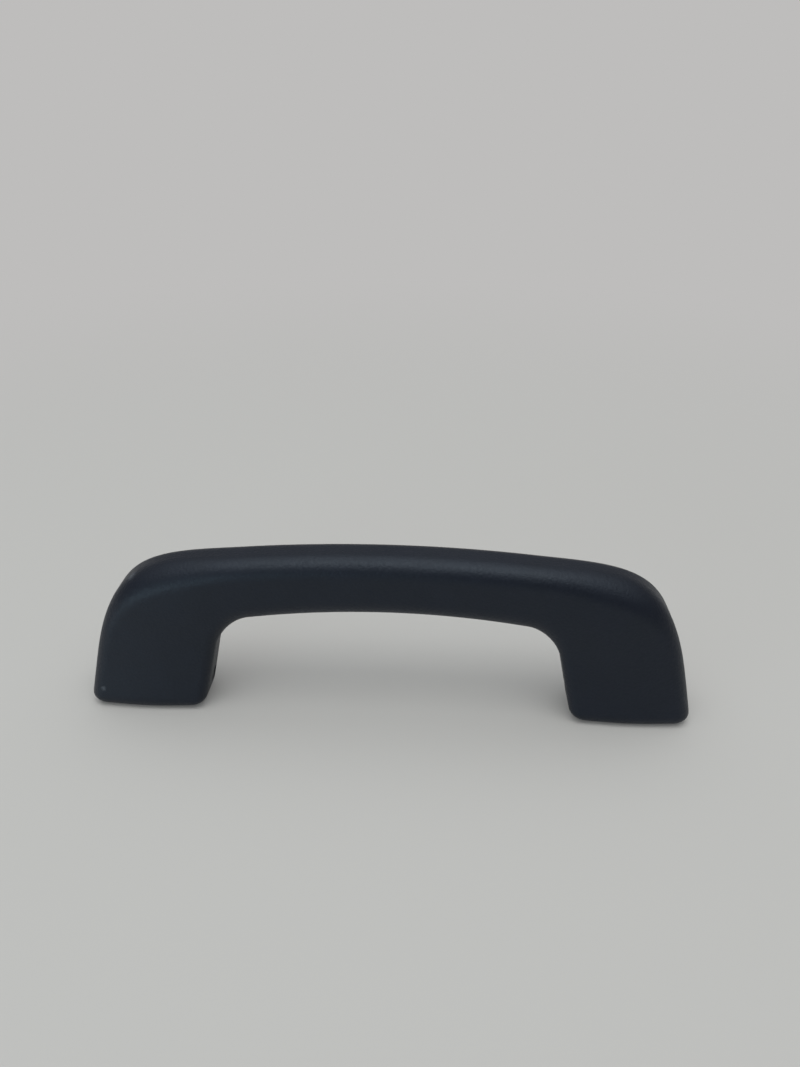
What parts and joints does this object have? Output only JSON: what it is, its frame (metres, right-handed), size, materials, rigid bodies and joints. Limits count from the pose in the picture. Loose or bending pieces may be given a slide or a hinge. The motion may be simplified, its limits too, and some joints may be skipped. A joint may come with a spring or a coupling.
{
  "type": "roof grab handle",
  "caption": "Folding roof grab handle: a smooth arched grip with two hollow legs, sprung and damped hinges and fixed roof brackets with capped bolt holes.",
  "frame": {"origin": "midway between the two fixing holes, on the roof face of the brackets", "axes": "+X along the handle, +Y into the roof along the fixing bolts, +Z from the feet of the legs towards the grip when folded"},
  "size_m": [0.228, 0.027, 0.0645],
  "materials": {
    "soft_touch_grip": "soft-touch coating over fine moulded grain",
    "bracket_plastic": "glass-filled nylon, as moulded",
    "cover_plastic": "fine moulded grain",
    "zinc_steel": "zinc plated",
    "spring_steel": "bright drawn wire",
    "natural_acetal": "as moulded, slightly waxy",
    "damper_plastic": "as moulded",
    "seal_rubber": "smooth moulded"
  },
  "bodies": {
    "brackets": {"left_bracket": "bracket_plastic", "right_bracket": "bracket_plastic", "left_sleeve": "zinc_steel", "right_sleeve": "zinc_steel", "left_screw_cover": "cover_plastic", "right_screw_cover": "cover_plastic", "damper_rotor": "natural_acetal"},
    "handle": {"grip": "soft_touch_grip", "left_hinge_pin": "zinc_steel", "right_hinge_pin": "zinc_steel", "left_washer": "natural_acetal", "right_washer": "natural_acetal", "return_spring": "spring_steel", "spring_spool": "natural_acetal", "damper_housing": "damper_plastic", "damper_cap": "natural_acetal", "damper_oring": "seal_rubber", "left_bumper": "seal_rubber", "right_bumper": "seal_rubber"}
  },
  "joints": [
    {"name": "handle_fold", "type": "hinge", "parent": "brackets", "child": "handle", "pos_m": [0, -0.014, -0.0175], "axis": [1, 0, 0], "range_deg": [0, 80], "stiffness_Nm_per_rad": 0.08, "springref_deg": -80.21, "deforming": ["return_spring"]}
  ]
}
